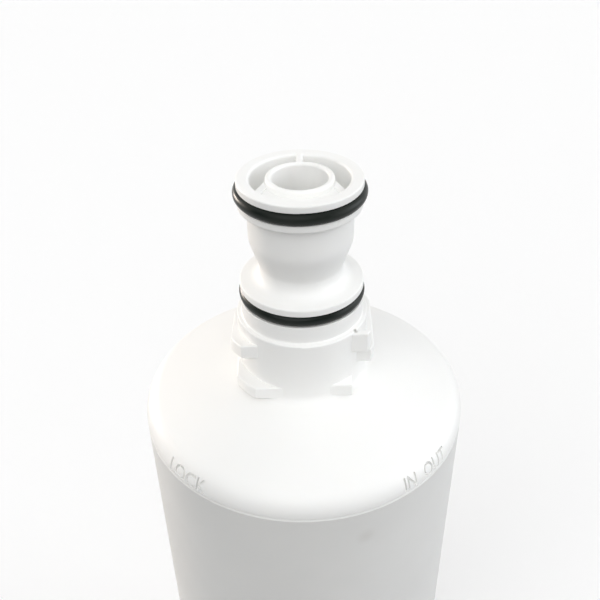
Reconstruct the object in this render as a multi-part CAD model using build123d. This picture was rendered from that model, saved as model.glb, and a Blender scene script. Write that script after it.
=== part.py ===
from build123d import *
import os

# Twist-lock water filter cartridge, standing on its base with the nozzle up.
# Millimetres. The origin is the middle of the base, +Z runs up the axis and -Y is the front.
# Azimuths are degrees from the front, growing towards +X.

# Body
body_radius = 36.5
can_height = 181.0           # base to weld seam
can_wall = 3.0
floor_thickness = 2.5
floor_corner_radius = 2.0
base_edge_radius = 3.0
foot_width = 9.5             # flat ring that the cartridge stands on, with its rounded edge
foot_recess = 1.5
seam_chamfer = 0.4

# Clearances
fit_gap = 0.15               # radial, between pieces that slide together
ring_gap = 0.02              # around a rubber ring in its groove
groove_play = 0.04           # groove width beyond the ring's cord

# Shoulder of the head cap
shoulder_corner = 4.2        # seam to where side and shoulder would meet unrounded
shoulder_rise = 7.2          # from there to the foot of the neck
shoulder_crown = 0.5         # how far the shoulder bulges over a plain cone
shoulder_edge_radius = 5.0
shoulder_crown_radius = 90.0
shoulder_wall = 3.1
skirt_depth = 6.0            # plug of the head cap inside the can
skirt_wall = 2.5

# Neck
neck_radius = 14.1
neck_length = 14.65          # foot to ledge
neck_foot_radius = 1.6
neck_wall = 2.6
ledge_width = 1.0            # neck's radius beyond the collar's
ledge_fillet = 0.35          # from the ledge up to the collar
collar_length = 4.0          # ledge to the lower groove
edge_radius = 0.3            # small roundings on lips and ledges

# Nozzle rings: a standard 21.2 x 2.65 ring, stretched a little onto its groove
ring_cord = 2.65
ring_proud = 0.25            # how far a ring stands out of the collar

# Nozzle, from the lower groove up
lower_lip_thickness = 1.56
lip_crown = 0.4              # rise of the lower lip's top towards the waist
waist_setback = 4.3          # behind the collar's radius
waist_length = 3.2
waist_wall = 1.5
waist_fillet = 2.4
flare_length = 6.1
flare_fillet = 7.2
barrel_setback = 2.3         # behind the collar's radius
barrel_length = 7.4
flange_setback = 0.5         # behind the collar's radius
flange_thickness = 1.7
lip_setback = 0.5            # behind the collar's radius
lip_thickness = 1.5

# Centre tube, coring pockets and passages
outlet_radius = 5.6
outlet_rim = 1.3
outlet_roof = 2.5            # from the raw-water passage up to the outlet's step
tube_bore = 4.0
tube_wall = 1.5
mouth_rounding = 0.55        # top edges of the outlet and the pockets
pocket_wall = 0.7            # between the pockets and the upper groove
pocket_depth = 5.0
web_width = 1.5
front_web_slant = 22.0       # degrees that the two front webs turn out from the Y direction
front_web_offset = 5.75      # distance of their middle lines from the axis
front_web_drop = 1.1         # nozzle's top to the front webs
front_floor_drop = 1.35      # nozzle's top to the floor between them
port_width = 7.0
port_height = 6.0
port_corner = 1.2
port_margin = 0.6            # over the start of the flare
passage_margin = 1.0         # passage beyond the port

# Bayonet on the neck; all but the stop have a twin half a turn round
lug_root = 2.0               # how far a lug's block is sunk into the neck's wall
ear_reach = 2.55             # circle of the ears and the stop, beyond the neck
ear_side_reach = 1.25        # flat sides of the two ears, beyond the neck
ear_high_end = 10.5          # distance of an ear's high end from the XZ plane
ear_low_end = 8.25
ear_drop = 5.85              # ledge to the ear's middle
ear_thickness = 3.2
ear_tilt = 10.0              # degrees that an ear falls towards its low end
stop_thickness = 1.5         # rib in front of the right ear's low end
stop_drop = 0.35             # ledge to the rib's top
stop_height = 4.8
ramp_reach = 2.8             # circle of the ramps and catches, beyond the neck
lug_lift = 0.25              # neck's foot to the underside of ramps and catches
ramp_setback = 0.7           # front face of a ramp, behind the neck's radius
ramp_side_reach = 0.3        # flat sides of the two ramps, beyond the neck
ramp_far_end = 3.0           # distance of a ramp's far end from the XZ plane
ramp_height = 2.8
catch_setback = 1.15
catch_inset = 3.7            # flat end of a catch, inside the neck's radius
catch_height = 2.9

# Filter element
water_gap = 3.1              # between the end caps and the can
cap_thickness = 2.5
cap_skirt = 8.0
cap_skirt_wall = 1.4
cap_edge_radius = 1.0
wrap_thickness = 1.2
glue_thickness = 1.0
core_radius = 6.5
plug_height = 4.0            # collar of an end cap inside the block's core
plug_edge_radius = 0.8

# Spigot, its ring and its socket: a standard 9.25 x 1.78 ring
spigot_ring_cord = 1.78
spigot_ring_inner_radius = 4.625
spigot_ring_height = 11.0    # above the top end cap
spigot_wall = 1.4            # under the ring
spigot_play = 0.5            # between spigot and socket
spigot_end_gap = 3.5
socket_wall = 2.4
socket_depth = 18.5

# Ribs that hold the element
rib_count = 6
rib_thickness = 2.0
rib_foot = 2.0               # reach of the head cap's ribs below its skirt
head_rib_height = 8.5        # top of the head cap's ribs over the seam
floor_rib_height = 6.0
floor_rib_inner_radius = 8.0
centring_height = 8.0

# Derived radii
can_inner_radius = body_radius - can_wall
skirt_radius = can_inner_radius - fit_gap
skirt_inner_radius = skirt_radius - skirt_wall
collar_radius = neck_radius - ledge_width
ring_inner_radius = collar_radius + ring_proud - ring_cord
groove_radius = ring_inner_radius - ring_gap
waist_radius = collar_radius - waist_setback
barrel_radius = collar_radius - barrel_setback
flange_radius = collar_radius - flange_setback
lip_radius = collar_radius - lip_setback
outlet_rim_radius = outlet_radius + outlet_rim
pocket_radius = groove_radius - pocket_wall
tube_radius = tube_bore + tube_wall
passage_radius = waist_radius - waist_wall
neck_bore = neck_radius - neck_wall
ear_radius = neck_radius + ear_reach
ramp_radius = neck_radius + ramp_reach
cap_radius = can_inner_radius - water_gap
cap_inner_radius = cap_radius - cap_skirt_wall
wrap_radius = cap_inner_radius - fit_gap
wrap_inner_radius = wrap_radius - wrap_thickness
block_radius = wrap_inner_radius - fit_gap
plug_radius = core_radius - fit_gap
spigot_groove_radius = spigot_ring_inner_radius - ring_gap
spigot_bore = spigot_groove_radius - spigot_wall
socket_radius = spigot_ring_inner_radius + spigot_ring_cord + ring_gap
socket_outer_radius = socket_radius + socket_wall
spigot_radius = socket_radius - spigot_play

# Derived heights of the head cap, from the base
groove_width = ring_cord + groove_play
seam = can_height
skirt_bottom = seam - skirt_depth
neck_foot = seam + shoulder_corner + shoulder_rise
ledge = neck_foot + neck_length
lower_groove = ledge + collar_length
lower_lip = lower_groove + groove_width
lower_lip_top = lower_lip + lower_lip_thickness
waist_foot = lower_lip_top + lip_crown
flare_bottom = waist_foot + waist_length
flare_top = flare_bottom + flare_length
flange_bottom = flare_top + barrel_length
upper_groove = flange_bottom + flange_thickness
upper_lip = upper_groove + groove_width
nozzle_top = upper_lip + lip_thickness
port_bottom = flare_bottom + port_margin
passage_top = port_bottom + port_height + passage_margin
outlet_bottom = passage_top + outlet_roof
socket_top = skirt_bottom + socket_depth

# Derived heights of the element, from the base
can_floor = foot_recess + floor_thickness
bottom_cap_level = can_floor + floor_rib_height
bottom_glue_level = bottom_cap_level + cap_thickness
block_bottom = bottom_glue_level + glue_thickness
top_cap_top = skirt_bottom - rib_foot
top_cap_level = top_cap_top - cap_thickness
block_top = top_cap_level - glue_thickness
spigot_ring_level = top_cap_top + spigot_ring_height
spigot_top = socket_top - spigot_end_gap


def turned(*corners):
    """Solid turned about Z from a closed outline of (radius, height, corner rounding)."""
    points = [(radius, height) for radius, height, rounding in corners]
    roundings = [rounding for radius, height, rounding in corners]
    outline = FilletPolyline(*points, radius=roundings, close=True)
    return revolve(Plane.XZ * make_face(outline), Axis.Z)


def tube(inner, outer, bottom, top):
    """Plain ring or tube about Z."""
    return turned((inner, bottom, 0), (outer, bottom, 0), (outer, top, 0), (inner, top, 0))


def rubber_ring(inner, cord, height):
    """Round-section ring about Z, at the height of its middle."""
    return Pos(0, 0, height) * Torus(inner + cord / 2, cord / 2)


def slab(face, bottom, top):
    """Plan face raised between two heights."""
    return Pos(0, 0, bottom) * extrude(face, top - bottom)


def rib_star(inner, outer, bottom, top):
    """Radial ribs between two radii and two heights."""
    rib = Pos((inner + outer) / 2, 0, (bottom + top) / 2) * Box(outer - inner, rib_thickness, top - bottom)
    return [Rot(0, 0, 360 / rib_count * index) * rib for index in range(rib_count)]


def housing_can():
    """Moulded cup with a foot ring, floor ribs and centring fins."""
    cup = turned(
        (0, foot_recess, 0),
        (body_radius - foot_width, foot_recess, 0),
        (body_radius - foot_width, 0, 0),
        (body_radius, 0, base_edge_radius),
        (body_radius, can_height - seam_chamfer, 0),
        (body_radius - seam_chamfer, can_height, 0),
        (can_inner_radius, can_height, 0),
        (can_inner_radius, can_floor, floor_corner_radius),
        (0, can_floor, 0),
    )
    wall_middle = can_inner_radius + can_wall / 2
    rib_root = can_floor - floor_thickness / 2
    floor_ribs = rib_star(floor_rib_inner_radius, wall_middle, rib_root, bottom_cap_level)
    fins = rib_star(cap_radius + 2 * fit_gap, wall_middle, rib_root, bottom_cap_level + centring_height)
    return cup + floor_ribs + fins


def head_blank():
    """Head cap as one turned form around the filtered-water way: spigot socket, narrow tube and outlet."""
    shoulder_middle = (body_radius + neck_radius) / 2
    crown = seam + shoulder_corner + shoulder_rise / 2 + shoulder_crown
    front_web = nozzle_top - front_web_drop
    return turned(
        (socket_radius, skirt_bottom, 0),
        (skirt_radius, skirt_bottom, edge_radius),
        (skirt_radius, seam, 0),
        (body_radius - seam_chamfer, seam, 0),
        (body_radius, seam + seam_chamfer, 0),
        (body_radius, seam + shoulder_corner, shoulder_edge_radius),
        (shoulder_middle, crown, shoulder_crown_radius),
        (neck_radius, neck_foot, neck_foot_radius),
        (neck_radius, ledge, edge_radius),
        (collar_radius, ledge, ledge_fillet),
        (collar_radius, lower_groove, edge_radius / 2),
        (groove_radius, lower_groove, 0),
        (groove_radius, lower_lip, 0),
        (collar_radius, lower_lip, edge_radius / 2),
        (collar_radius, lower_lip_top, edge_radius),
        (waist_radius, waist_foot, waist_fillet),
        (waist_radius, flare_bottom, waist_fillet),
        (barrel_radius, flare_top, flare_fillet),
        (barrel_radius, flange_bottom, edge_radius),
        (flange_radius, flange_bottom, 2 * edge_radius),
        (flange_radius, upper_groove, edge_radius / 2),
        (groove_radius, upper_groove, 0),
        (groove_radius, upper_lip, 0),
        (lip_radius, upper_lip, edge_radius / 2),
        (lip_radius, nozzle_top, edge_radius),
        (pocket_radius, nozzle_top, mouth_rounding),
        (pocket_radius, front_web, 0),
        (outlet_rim_radius, front_web, 0),
        (outlet_rim_radius, nozzle_top, mouth_rounding),
        (outlet_radius, nozzle_top, mouth_rounding),
        (outlet_radius, outlet_bottom, 0),
        (tube_bore, outlet_bottom + tube_bore - outlet_radius, 0),
        (tube_bore, socket_top + socket_radius - tube_bore, 0),
        (socket_radius, socket_top, 0),
    )


def lug(radius, sides, ends, bottom, top):
    """Block on the neck between planes square to X and Y, as a mould that opens along Y leaves it."""
    left, right = sides
    front, back = ends
    ring = Circle(radius) - Circle(neck_radius - lug_root)
    plan = ring & Pos((left + right) / 2, (front + back) / 2) * Rectangle(right - left, back - front)
    return slab(plan, bottom, top)


def rounded(block):
    """Lug with its outer edges rounded; the edges inside the neck's wall stay sharp."""
    limit = neck_radius - lug_root / 2
    outer = [edge for edge in block.edges() if Vector(edge.center().X, edge.center().Y).length > limit]
    return fillet(outer, edge_radius)


def ear():
    """Sloping lug on the left side of the neck, high at the front."""
    side = -neck_radius - ear_side_reach
    block = lug(ear_radius, (side, 0), (-ear_high_end, ear_low_end), neck_foot, ledge)
    layer = Rot(-ear_tilt, 0, 0) * Box(4 * ear_radius, 4 * ear_radius, ear_thickness)
    return block & Pos(0, 0, ledge - ear_drop) * layer


def bayonet():
    """All the lugs on the neck."""
    stop_front = -ear_low_end - stop_thickness
    stop_top = ledge - stop_drop
    underside = neck_foot + lug_lift
    ramp_sides = (-neck_radius - ramp_side_reach, 0)
    ramp_ends = (ramp_setback - neck_radius, -ramp_far_end)
    catch_ends = (catch_setback - neck_radius, 0)
    stop = lug(ear_radius, (0, ear_radius), (stop_front, -ear_low_end), stop_top - stop_height, stop_top)
    ramp = lug(ramp_radius, ramp_sides, ramp_ends, underside, underside + ramp_height)
    catch = lug(ramp_radius, (0, neck_radius - catch_inset), catch_ends, underside, underside + catch_height)
    paired = [rounded(block) for block in (ear(), ramp, catch)]
    return [rounded(stop)] + paired + [Rot(0, 0, 180) * block for block in paired]


def raw_water_passage():
    """Space under the shoulder that rises around the centre tube to the waist's port."""
    shoulder_middle = (body_radius + neck_radius) / 2
    crown = seam + shoulder_corner + shoulder_rise / 2 + shoulder_crown
    edge_slope = (crown - seam - shoulder_corner) / (body_radius - shoulder_middle)
    neck_slope = (neck_foot - crown) / (shoulder_middle - neck_radius)
    outer_roof = seam + shoulder_corner + edge_slope * (body_radius - skirt_inner_radius) - shoulder_wall
    inner_roof = neck_foot + neck_slope * (neck_radius - neck_bore) - shoulder_wall
    throat_radius = groove_radius - neck_wall
    return turned(
        (socket_outer_radius, top_cap_top, 0),
        (skirt_inner_radius, top_cap_top, 0),
        (skirt_inner_radius, outer_roof, edge_radius),
        (shoulder_middle, crown - shoulder_wall, 0),
        (neck_bore, inner_roof, edge_radius),
        (neck_bore, ledge - neck_wall, 0),
        (throat_radius, ledge, 0),
        (throat_radius, lower_lip_top, 0),
        (passage_radius, flare_bottom, 0),
        (passage_radius, passage_top, 0),
        (tube_radius, passage_top, 0),
        (tube_radius, socket_top + socket_wall, 0),
        (socket_outer_radius, socket_top, 0),
    )


def coring_pockets():
    """Two deep kidney pockets beside the outlet and a shallow one at its front, parted by webs."""
    web = Rectangle(web_width, pocket_radius)
    pockets = Circle(pocket_radius) - Circle(outlet_rim_radius) - Pos(0, pocket_radius / 2) * web
    for side in (-1, 1):
        pockets -= Rot(0, 0, side * front_web_slant) * Pos(side * front_web_offset, -pocket_radius / 2) * web
    front, *sides = fillet(pockets.vertices(), edge_radius).faces().sort_by(Axis.Y)
    mouth = nozzle_top - front_web_drop
    floor = slab(front, nozzle_top - front_floor_drop, mouth)
    return [floor] + [slab(side, nozzle_top - pocket_depth, mouth) for side in sides]


def back_web():
    """Web that rises to the nozzle's top behind the outlet."""
    start = outlet_radius + outlet_rim / 2
    length = pocket_radius + 2 * mouth_rounding - start
    web = Pos(0, start + length / 2, nozzle_top - front_web_drop / 2) * Box(web_width, length, front_web_drop)
    upper = web.edges().filter_by(Axis.Y).group_by(Axis.Z)[-1]
    return fillet(upper, mouth_rounding)


def side_port():
    """Window through the back of the waist, between the two rings."""
    opening = Plane.XZ * RectangleRounded(port_width, port_height, port_corner)
    passage_middle = (tube_radius + passage_radius) / 2
    return Pos(0, passage_middle, port_bottom + port_height / 2) * extrude(opening, -barrel_radius)


def head_cap():
    """Shoulder, neck and nozzle, moulded in one."""
    head = head_blank() + back_web()
    for block in bayonet():
        head += block
    rib_root = (socket_radius + socket_outer_radius) / 2
    skirt_middle = skirt_inner_radius + skirt_wall / 2
    passage = raw_water_passage()
    for rib in rib_star(rib_root, skirt_middle, top_cap_top, seam + head_rib_height):
        passage -= rib
    feet = rib_star(rib_root, cap_inner_radius, top_cap_top, skirt_bottom + rib_foot)
    return head - passage + feet - coring_pockets() - side_port()


def top_end_cap():
    """Cap over the block's top, with the spigot that plugs into the head cap."""
    ring_half = (spigot_ring_cord + groove_play) / 2
    plug_bottom = block_top - plug_height
    skirt_level = top_cap_level - cap_skirt
    return turned(
        (spigot_bore, plug_bottom, 0),
        (plug_radius, plug_bottom, plug_edge_radius),
        (plug_radius, top_cap_level, 0),
        (cap_inner_radius, top_cap_level, 0),
        (cap_inner_radius, skirt_level, 0),
        (cap_radius, skirt_level, 0),
        (cap_radius, top_cap_top, cap_edge_radius),
        (spigot_radius, top_cap_top, 0),
        (spigot_radius, spigot_ring_level - ring_half, 0),
        (spigot_groove_radius, spigot_ring_level - ring_half, 0),
        (spigot_groove_radius, spigot_ring_level + ring_half, 0),
        (spigot_radius, spigot_ring_level + ring_half, 0),
        (spigot_radius, spigot_top, plug_edge_radius),
        (spigot_bore, spigot_top, 0),
    )


def bottom_end_cap():
    """Closed cap under the block, with a plug in its core."""
    skirt_level = bottom_glue_level + cap_skirt
    plug_top = block_bottom + plug_height
    return turned(
        (0, bottom_cap_level, 0),
        (cap_radius, bottom_cap_level, cap_edge_radius),
        (cap_radius, skirt_level, 0),
        (cap_inner_radius, skirt_level, 0),
        (cap_inner_radius, bottom_glue_level, 0),
        (plug_radius, bottom_glue_level, 0),
        (plug_radius, plug_top, plug_edge_radius),
        (0, plug_top, 0),
    )


def glue_seal(level):
    """Layer of hot-melt glue between the block's end and an end cap."""
    return tube(core_radius, wrap_radius, level, level + glue_thickness)


pieces = {
    "housing_can": housing_can(),
    "head_cap": head_cap(),
    "upper_o_ring": rubber_ring(ring_inner_radius, ring_cord, upper_groove + groove_width / 2),
    "lower_o_ring": rubber_ring(ring_inner_radius, ring_cord, lower_groove + groove_width / 2),
    "carbon_block": tube(core_radius, block_radius, block_bottom, block_top),
    "prefilter_wrap": tube(wrap_inner_radius, wrap_radius, block_bottom, block_top),
    "top_end_cap": top_end_cap(),
    "bottom_end_cap": bottom_end_cap(),
    "spigot_o_ring": rubber_ring(spigot_ring_inner_radius, spigot_ring_cord, spigot_ring_level),
    "top_glue_seal": glue_seal(block_top),
    "bottom_glue_seal": glue_seal(bottom_glue_level),
}

os.makedirs("parts", exist_ok=True)
for name, solid in pieces.items():
    export_step(solid, f"parts/{name}.step")
    print(f"{name}: {solid.volume / 1000:.1f} cm3")
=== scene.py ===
import math

import bpy
from mathutils import Matrix, Vector
from mathutils.kdtree import KDTree


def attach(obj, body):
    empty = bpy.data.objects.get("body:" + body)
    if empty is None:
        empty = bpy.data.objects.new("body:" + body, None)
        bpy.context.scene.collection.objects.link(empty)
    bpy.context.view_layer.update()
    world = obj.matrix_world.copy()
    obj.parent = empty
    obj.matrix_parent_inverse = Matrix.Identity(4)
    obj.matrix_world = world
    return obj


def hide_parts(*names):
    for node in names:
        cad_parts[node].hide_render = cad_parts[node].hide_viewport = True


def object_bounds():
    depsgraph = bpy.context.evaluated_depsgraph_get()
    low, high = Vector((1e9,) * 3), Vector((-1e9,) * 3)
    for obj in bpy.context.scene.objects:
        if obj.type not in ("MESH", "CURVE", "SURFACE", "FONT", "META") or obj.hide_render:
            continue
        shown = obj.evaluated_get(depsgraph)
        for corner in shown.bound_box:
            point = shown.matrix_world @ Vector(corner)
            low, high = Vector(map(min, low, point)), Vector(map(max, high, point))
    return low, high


# Twist-lock water filter cartridge. Metres, +Z up the cartridge's axis, -Y the front.
MM = 0.001

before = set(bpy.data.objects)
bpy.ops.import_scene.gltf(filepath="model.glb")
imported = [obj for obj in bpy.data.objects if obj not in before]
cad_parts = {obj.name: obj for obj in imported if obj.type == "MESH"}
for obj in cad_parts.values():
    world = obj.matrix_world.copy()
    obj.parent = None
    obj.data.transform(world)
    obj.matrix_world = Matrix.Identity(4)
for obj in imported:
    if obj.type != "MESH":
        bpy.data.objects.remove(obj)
cad_low, cad_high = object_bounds()


def linear(code):
    """sRGB hex value as linear red, green, blue and alpha."""
    shares = [int(code[i:i + 2], 16) / 255 for i in (1, 3, 5)]
    return [s / 12.92 if s <= 0.04045 else ((s + 0.055) / 1.055) ** 2.4 for s in shares] + [1.0]


def per_metre(size_mm):
    """Texture scale that gives features of about this size."""
    return 1.0 / (size_mm * MM)


def add_node(tree, kind, inputs=None, **settings):
    """Adds a node with its settings; inputs are values or sockets to link."""
    node = tree.nodes.new(kind)
    for name, value in settings.items():
        setattr(node, name, value)
    for name, value in (inputs or {}).items():
        if isinstance(value, bpy.types.NodeSocket):
            tree.links.new(value, node.inputs[name])
        else:
            node.inputs[name].default_value = value
    return node


def new_material(name):
    """Empty node material; returns it with its tree and the object's own coordinates."""
    material = bpy.data.materials.new(name)
    material.use_nodes = True
    tree = material.node_tree
    tree.nodes.clear()
    return material, tree, add_node(tree, "ShaderNodeTexCoord").outputs["Object"]


def moulded_polypropylene(name, pale, deep, depth, draw_marks=False, mark=None):
    """White polypropylene from a satin steel mould: soft sheen, faint cloudiness, light let in a little."""
    material, tree, place = new_material(name)
    cloud = add_node(tree, "ShaderNodeTexNoise", {"Vector": place, "Scale": per_metre(30), "Detail": 3.0})
    share = add_node(tree, "ShaderNodeMapRange", {
        "Value": cloud.outputs["Fac"], "From Min": 0.35, "From Max": 0.65})
    colour = add_node(tree, "ShaderNodeMix", {
        "Factor": share.outputs["Result"], "A": linear(deep), "B": linear(pale)},
        data_type="RGBA").outputs["Result"]
    if mark:
        spot, size, mark_colour = mark
        away = add_node(tree, "ShaderNodeVectorMath", {0: place, 1: spot}, operation="DISTANCE")
        there = add_node(tree, "ShaderNodeMapRange", {
            "Value": away.outputs["Value"],
            "From Min": 0.0,
            "From Max": size,
            "To Min": 1.0,
            "To Max": 0.0,
        }, interpolation_type="SMOOTHSTEP")
        colour = add_node(tree, "ShaderNodeMix", {
            "Factor": there.outputs["Result"], "A": colour, "B": linear(mark_colour)},
            data_type="RGBA").outputs["Result"]
    # Spark-eroded grain is about 0.05 mm on the real part, drawn at 0.4 mm so that it shows.
    grain = add_node(tree, "ShaderNodeTexNoise", {"Vector": place, "Scale": per_metre(0.4), "Detail": 2.0})
    relief = grain.outputs["Fac"]
    if draw_marks:
        # Marks that the can keeps from sliding off its core: 1.5 mm apart and 60 mm long.
        along = add_node(tree, "ShaderNodeMapping", {"Vector": place, "Scale": (1.0, 1.0, 1.5 / 60)})
        lines = add_node(tree, "ShaderNodeTexNoise", {
            "Vector": along.outputs["Vector"], "Scale": per_metre(1.5), "Detail": 2.0})
        relief = add_node(
            tree, "ShaderNodeMath", {0: relief, 1: lines.outputs["Fac"]}, operation="ADD").outputs["Value"]
    bump = add_node(tree, "ShaderNodeBump", {"Height": relief, "Strength": 0.12, "Distance": 0.05 * MM})
    spots = add_node(tree, "ShaderNodeTexNoise", {"Vector": place, "Scale": per_metre(9), "Detail": 4.0})
    rough = add_node(tree, "ShaderNodeMapRange", {
        "Value": spots.outputs["Fac"], "To Min": 0.36, "To Max": 0.5})
    shader = add_node(tree, "ShaderNodeBsdfPrincipled", {
        "Base Color": colour,
        "Roughness": rough.outputs["Result"],
        "IOR": 1.49,
        "Normal": bump.outputs["Normal"],
        "Subsurface Weight": depth,
        "Subsurface Radius": (1.0, 0.9, 0.8),
        "Subsurface Scale": 1.0 * MM,
    })
    add_node(tree, "ShaderNodeOutputMaterial", {"Surface": shader.outputs["BSDF"]})
    return material


def greased_rubber():
    """Black nitrile rubber with a thin film of silicone grease: soft dim sheen, nearly black in shade."""
    material, tree, place = new_material("black_nitrile_rubber")
    smear = add_node(tree, "ShaderNodeTexNoise", {"Vector": place, "Scale": per_metre(5), "Detail": 4.0})
    film = add_node(tree, "ShaderNodeMapRange", {
        "Value": smear.outputs["Fac"], "From Min": 0.35, "From Max": 0.7})
    colour = add_node(tree, "ShaderNodeMix", {
        "Factor": film.outputs["Result"], "A": linear("#0e1713"), "B": linear("#171c17")}, data_type="RGBA")
    rough = add_node(tree, "ShaderNodeMapRange", {
        "Value": film.outputs["Result"], "To Min": 0.28, "To Max": 0.5})
    # Flash and pores of about 0.05 mm, drawn at 0.25 mm so that they show.
    pores = add_node(tree, "ShaderNodeTexNoise", {"Vector": place, "Scale": per_metre(0.25), "Detail": 2.0})
    bump = add_node(tree, "ShaderNodeBump", {
        "Height": pores.outputs["Fac"], "Strength": 0.15, "Distance": 0.03 * MM})
    shader = add_node(tree, "ShaderNodeBsdfPrincipled", {
        "Base Color": colour.outputs["Result"],
        "Roughness": rough.outputs["Result"],
        "IOR": 1.5,
        "Specular IOR Level": 0.22,
        "Normal": bump.outputs["Normal"],
    })
    add_node(tree, "ShaderNodeOutputMaterial", {"Surface": shader.outputs["BSDF"]})
    return material


def pressed_carbon():
    """Activated carbon grains sintered with a binder: dull black, rough, with a few grey facets."""
    material, tree, place = new_material("pressed_activated_carbon")
    # Grains are about 0.15 mm, drawn at 0.6 mm so that they show.
    grains = add_node(tree, "ShaderNodeTexVoronoi", {"Vector": place, "Scale": per_metre(0.6)})
    shade = add_node(tree, "ShaderNodeSeparateColor", {"Color": grains.outputs["Color"]})
    colour = add_node(tree, "ShaderNodeMix", {
        "Factor": shade.outputs["Red"], "A": linear("#0e0e0e"), "B": linear("#2a2a29")}, data_type="RGBA")
    bump = add_node(tree, "ShaderNodeBump", {
        "Height": grains.outputs["Distance"], "Strength": 0.6, "Distance": 0.3 * MM}, invert=True)
    shader = add_node(tree, "ShaderNodeBsdfPrincipled", {
        "Base Color": colour.outputs["Result"],
        "Roughness": 0.92,
        "Normal": bump.outputs["Normal"],
    })
    add_node(tree, "ShaderNodeOutputMaterial", {"Surface": shader.outputs["BSDF"]})
    return material


def spun_fleece():
    """White spun polypropylene web: matt, fluffy, with fibres lying every way."""
    material, tree, place = new_material("spun_polypropylene_fleece")
    # Fibres are about 0.03 mm thick, drawn as tangled strands of about 2 mm so that they show.
    strands = add_node(tree, "ShaderNodeTexNoise", {
        "Vector": place, "Scale": per_metre(2), "Detail": 5.0, "Distortion": 2.5})
    colour = add_node(tree, "ShaderNodeMix", {
        "Factor": strands.outputs["Fac"], "A": linear("#d2d2cc"), "B": linear("#f4f4f0")}, data_type="RGBA")
    bump = add_node(tree, "ShaderNodeBump", {
        "Height": strands.outputs["Fac"], "Strength": 0.7, "Distance": 0.4 * MM})
    shader = add_node(tree, "ShaderNodeBsdfPrincipled", {
        "Base Color": colour.outputs["Result"],
        "Roughness": 0.9,
        "Sheen Weight": 0.3,
        "Normal": bump.outputs["Normal"],
    })
    add_node(tree, "ShaderNodeOutputMaterial", {"Surface": shader.outputs["BSDF"]})
    return material


def hot_melt():
    """Cream hot-melt glue: waxy and smooth, with light deep inside it."""
    material, tree, place = new_material("hot_melt_glue")
    swirl = add_node(tree, "ShaderNodeTexNoise", {"Vector": place, "Scale": per_metre(6), "Detail": 2.0})
    colour = add_node(tree, "ShaderNodeMix", {
        "Factor": swirl.outputs["Fac"], "A": linear("#d8cba2"), "B": linear("#eadfbd")}, data_type="RGBA")
    bump = add_node(tree, "ShaderNodeBump", {
        "Height": swirl.outputs["Fac"], "Strength": 0.4, "Distance": 0.3 * MM})
    shader = add_node(tree, "ShaderNodeBsdfPrincipled", {
        "Base Color": colour.outputs["Result"],
        "Roughness": 0.32,
        "Subsurface Weight": 0.4,
        "Subsurface Radius": (1.0, 0.8, 0.5),
        "Subsurface Scale": 3.0 * MM,
        "Normal": bump.outputs["Normal"],
    })
    add_node(tree, "ShaderNodeOutputMaterial", {"Surface": shader.outputs["BSDF"]})
    return material


def dress(mesh, material):
    """Gives a mesh its one finish."""
    mesh.materials.clear()
    mesh.materials.append(material)


# Small marks on the mouldings: where each is, how far it reaches, and its colour
RESIN_GRAIN = (Vector((11.05, -8.8, 207.0)) * MM, 0.75 * MM, "#8f8c87")  # burnt, and moulded in
FINGER_SMUDGE = (Vector((12.2, -34.4, 173.2)) * MM, 2.9 * MM, "#dddcd9")

# Finishes of the CAD pieces
rubber = greased_rubber()
end_cap_plastic = moulded_polypropylene("natural_polypropylene", "#e6e6e2", "#dddcd6", 0.35)
glue = hot_melt()
head_plastic = moulded_polypropylene(
    "white_polypropylene_head", "#fbfbf9", "#f8f8f6", 0.08, mark=RESIN_GRAIN)
finishes = {
    # The same white polypropylene as the head, with painted shade: the can's colours are set darker than
    # the head's to stand for the weaker light it gets, with no bright surface below it.
    "housing_can": moulded_polypropylene(
        "white_polypropylene_can_painted_shade", "#e7e7e5", "#e3e3e1", 0.08, draw_marks=True, mark=FINGER_SMUDGE),
    "head_cap": head_plastic,
    "upper_o_ring": rubber,
    "lower_o_ring": rubber,
    "spigot_o_ring": rubber,
    "carbon_block": pressed_carbon(),
    "prefilter_wrap": spun_fleece(),
    "top_end_cap": end_cap_plastic,
    "bottom_end_cap": end_cap_plastic,
    "top_glue_seal": glue,
    "bottom_glue_seal": glue,
}
for node, material in finishes.items():
    dress(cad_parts[node].data, material)

# Words about use, cut into the shoulder's rounded edge. Millimetres, and degrees from the front.
WORDS = (("LOCK", -51.6, -34.3), ("IN  OUT", 33.9, 54.9))  # with their start and end azimuths
SEAM = max(vertex.co.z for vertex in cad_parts["housing_can"].data.vertices) / MM
BODY_RADIUS = cad_high[0] / MM
EDGE_RADIUS = 5.0
EDGE_START = 0.71           # height over the seam where the side begins to round over
WORD_FOOT = 0.65            # along the profile, from the seam
WORD_HEIGHT = 3.35
WORD_DEPTH = 0.7
WORD_SLICES = 8             # across the height, so that the letters can bend with the edge

# Flat letters, in the font's own units, before they are wrapped round the edge
LETTER_THICKNESS = 0.1
STROKE_GAIN = 0.012
ROUND_STEPS = 5
LETTER_MERGE = 0.0001

# Shading of the cut copy
MERGE_GAP = 0.001 * MM
SAME_PLACE = 0.002 * MM
SKIN_LIKENESS = 0.7         # least cosine between the edge's direction and a face of its skin


def pick(piece):
    """Selects one object alone, for the operators that follow."""
    bpy.ops.object.select_all(action="DESELECT")
    piece.select_set(True)
    bpy.context.view_layer.objects.active = piece


def on_edge(azimuth, along, out):
    """Point near the shoulder's edge: degrees from the front, mm up its profile and mm out of its skin."""
    angle = max(0.0, (along - EDGE_START) / EDGE_RADIUS)
    reach = EDGE_RADIUS + out
    radius = BODY_RADIUS - EDGE_RADIUS + reach * math.cos(angle)
    height = SEAM + min(along, EDGE_START) + reach * math.sin(angle)
    turn = math.radians(azimuth)
    return Vector((radius * math.sin(turn), -radius * math.cos(turn), height)) * MM


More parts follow.
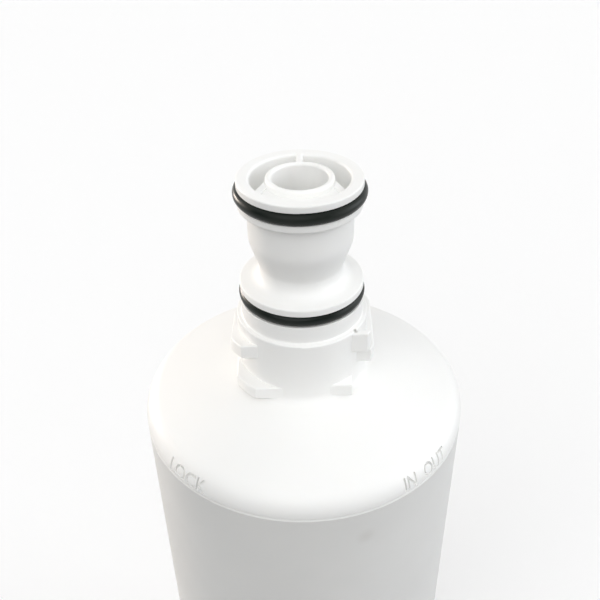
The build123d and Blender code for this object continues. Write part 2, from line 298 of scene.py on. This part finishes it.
def letters_for(words, start, end):
    """Solid letters wrapped round the shoulder's edge between two azimuths, half sunk in its skin."""
    bpy.ops.object.select_all(action="DESELECT")
    bpy.ops.object.text_add()
    letters = bpy.context.object
    letters.data.body = words
    letters.data.extrude = LETTER_THICKNESS
    letters.data.offset = STROKE_GAIN
    letters.data.resolution_u = ROUND_STEPS
    bpy.ops.object.convert(target="MESH")
    letters = bpy.context.object
    corners = [Vector(corner) for corner in letters.bound_box]
    low = Vector([min(corner[i] for corner in corners) for i in range(3)])
    size = Vector([max(corner[i] for corner in corners) for i in range(3)]) - low
    bpy.ops.object.mode_set(mode="EDIT")
    bpy.ops.mesh.select_all(action="SELECT")
    bpy.ops.mesh.remove_doubles(threshold=LETTER_MERGE)
    for cut in range(1, WORD_SLICES):
        bpy.ops.mesh.select_all(action="SELECT")
        height = low.y + size.y * cut / WORD_SLICES
        bpy.ops.mesh.bisect(plane_co=(0, height, 0), plane_no=(0, 1, 0))
    bpy.ops.object.mode_set(mode="OBJECT")
    for vertex in letters.data.vertices:
        across, up, out = [(vertex.co[i] - low[i]) / size[i] for i in range(3)]
        azimuth = start + (end - start) * across
        vertex.co = on_edge(azimuth, WORD_FOOT + WORD_HEIGHT * up, WORD_DEPTH * (2 * out - 1))
    return letters


def edge_direction(place):
    """Which way the shoulder's edge faces at a point on it."""
    round_centre = (BODY_RADIUS - EDGE_RADIUS) * MM
    radial = Vector((place.x, place.y, 0.0)).normalized()
    lift = max(0.0, place.z - (SEAM + EDGE_START) * MM)
    return (radial * (place.xy.length - round_centre) + Vector((0.0, 0.0, lift))).normalized()


def keep_corner_directions(mesh, cad_mesh):
    """Shades a cut copy as its CAD mesh; new corners face as the edge does, or as their own face."""
    corners = KDTree(len(cad_mesh.loops))
    facing = {}
    for polygon in cad_mesh.polygons:
        for corner in polygon.loop_indices:
            corners.insert(cad_mesh.vertices[cad_mesh.loops[corner].vertex_index].co, corner)
            facing[corner] = polygon.normal.copy()
    corners.balance()
    directions = []
    for polygon in mesh.polygons:
        for corner in polygon.loop_indices:
            place = mesh.vertices[mesh.loops[corner].vertex_index].co
            same = [index for spot, index, gap in corners.find_range(place, SAME_PLACE)]
            if same:
                closest = max(same, key=lambda index: facing[index].dot(polygon.normal))
                directions.append(cad_mesh.corner_normals[closest].vector.copy())
            else:
                skin = edge_direction(place)
                on_skin = skin.dot(polygon.normal) > SKIN_LIKENESS
                directions.append(skin if on_skin else polygon.normal.copy())
    mesh.normals_split_custom_set(directions)


# Head cap with its words
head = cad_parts["head_cap"].copy()
head.data = head.data.copy()
head.name = "head_with_words"
bpy.context.collection.objects.link(head)
pick(head)
bpy.ops.object.mode_set(mode="EDIT")
bpy.ops.mesh.select_all(action="SELECT")
bpy.ops.mesh.remove_doubles(threshold=MERGE_GAP)
bpy.ops.object.mode_set(mode="OBJECT")
for words, start, end in WORDS:
    letters = letters_for(words, start, end)
    pick(head)
    engraving = head.modifiers.new("engraving", "BOOLEAN")
    engraving.operation = "DIFFERENCE"
    engraving.solver = "EXACT"
    engraving.object = letters
    bpy.ops.object.modifier_apply(modifier=engraving.name)
    bpy.data.objects.remove(letters)
dress(head.data, head_plastic)
bpy.ops.object.shade_smooth()
keep_corner_directions(head.data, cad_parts["head_cap"].data)
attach(head, "root")
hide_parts("head_cap")

# Floor: matt paper, white where it is seen or mirrored and grey where it throws light back on the part
FLOOR_SIZE = 8.0
bpy.ops.object.select_all(action="DESELECT")
bpy.ops.mesh.primitive_plane_add(size=FLOOR_SIZE)
floor = bpy.context.object
floor.name = "studio_floor"
paper, paper_tree = new_material("white_paper_sweep")[:2]
paper_path = add_node(paper_tree, "ShaderNodeLightPath")
paper_seen = paper_path.outputs["Is Camera Ray"]
for other in ("Is Glossy Ray", "Is Transmission Ray"):
    paper_seen = add_node(paper_tree, "ShaderNodeMath", {
        0: paper_seen, 1: paper_path.outputs[other]}, operation="MAXIMUM").outputs["Value"]
paper_colour = add_node(paper_tree, "ShaderNodeMix", {
    "Factor": paper_seen, "A": linear("#606060"), "B": linear("#ffffff")}, data_type="RGBA")
paper_shader = add_node(paper_tree, "ShaderNodeBsdfDiffuse", {"Color": paper_colour.outputs["Result"]})
add_node(paper_tree, "ShaderNodeOutputMaterial", {"Surface": paper_shader.outputs["BSDF"]})
floor.data.materials.append(paper)

# World: white where it is seen and grey where it lights the part.
# Where it is mirrored, it is white behind the part and dim in front of it.
FILL_STRENGTH = 0.42
FRONT_STRENGTH = 0.15
BACK_STRENGTH = 1.0
world = bpy.data.worlds.new("studio")
bpy.context.scene.world = world
world.use_nodes = True
sky = world.node_tree
sky.nodes.clear()
path = add_node(sky, "ShaderNodeLightPath")
toward_sky = add_node(sky, "ShaderNodeTexCoord").outputs["Generated"]
direction = add_node(sky, "ShaderNodeSeparateXYZ", {"Vector": toward_sky})
behind = add_node(sky, "ShaderNodeMapRange", {
    "Value": direction.outputs["Y"],
    "From Min": -0.2,
    "From Max": 0.5,
    "To Min": FRONT_STRENGTH,
    "To Max": BACK_STRENGTH,
})
mirrored = add_node(sky, "ShaderNodeMath", {
    0: path.outputs["Is Glossy Ray"], 1: path.outputs["Is Transmission Ray"]}, operation="MAXIMUM")
fill_light = add_node(sky, "ShaderNodeBackground", {"Color": linear("#ffffff"), "Strength": FILL_STRENGTH})
room = add_node(sky, "ShaderNodeBackground", {
    "Color": linear("#ffffff"), "Strength": behind.outputs["Result"]})
backdrop = add_node(sky, "ShaderNodeBackground", {"Color": linear("#ffffff"), "Strength": BACK_STRENGTH})
lit = add_node(sky, "ShaderNodeMixShader", {
    0: mirrored.outputs["Value"], 1: fill_light.outputs["Background"], 2: room.outputs["Background"]})
both = add_node(sky, "ShaderNodeMixShader", {
    0: path.outputs["Is Camera Ray"], 1: lit.outputs["Shader"], 2: backdrop.outputs["Background"]})
add_node(sky, "ShaderNodeOutputWorld", {"Surface": both.outputs["Shader"]})


def soft_lamp(name, toward, strength, spread_degrees, code):
    """Wide, even studio lamp that shines from a direction, in watts per square metre."""
    bpy.ops.object.light_add(type="SUN")
    lamp = bpy.context.object
    lamp.name = name
    lamp.data.energy = strength
    lamp.data.angle = math.radians(spread_degrees)
    lamp.data.color = linear(code)[:3]
    lamp.rotation_mode = "QUATERNION"
    lamp.rotation_quaternion = Vector(toward).to_track_quat("Z", "Y")


soft_lamp("overhead_lamp", (0.0, -0.3, 1.0), 0.79, 110, "#ffffff")
soft_lamp("front_lamp", (-0.35, -1.0, 0.85), 0.95, 60, "#ffffff")
soft_lamp("right_lamp", (0.9, -0.02, 0.1), 1.95, 60, "#f8fbff")
soft_lamp("left_lamp", (-0.79, 0.62, 0.0), 2.8, 18, "#fff1e4")

# Camera, from the photograph's ellipses
CAMERA_PLACE = Vector((-0.431, -136.335, 305.343)) * MM
CAMERA_PITCH = math.radians(35.296)
CAMERA_ROLL = math.radians(1.125)
FOCAL_PIXELS = 773.7
FRAME_PIXELS = 600
NEAREST_SEEN = 10 * MM
forward = Vector((0, math.cos(CAMERA_PITCH), -math.sin(CAMERA_PITCH)))
level_up = Vector((0, math.sin(CAMERA_PITCH), math.cos(CAMERA_PITCH)))
side = Vector((1, 0, 0))
camera_right = side * math.cos(CAMERA_ROLL) - level_up * math.sin(CAMERA_ROLL)
camera_up = side * math.sin(CAMERA_ROLL) + level_up * math.cos(CAMERA_ROLL)
bpy.ops.object.camera_add()
camera = bpy.context.object
camera.data.lens = camera.data.sensor_width * FOCAL_PIXELS / FRAME_PIXELS
camera.data.clip_start = NEAREST_SEEN
camera_turn = Matrix((camera_right, camera_up, -forward)).transposed().to_4x4()
camera.matrix_world = Matrix.Translation(CAMERA_PLACE) @ camera_turn
scene = bpy.context.scene
scene.camera = camera
scene.view_settings.view_transform = "Standard"
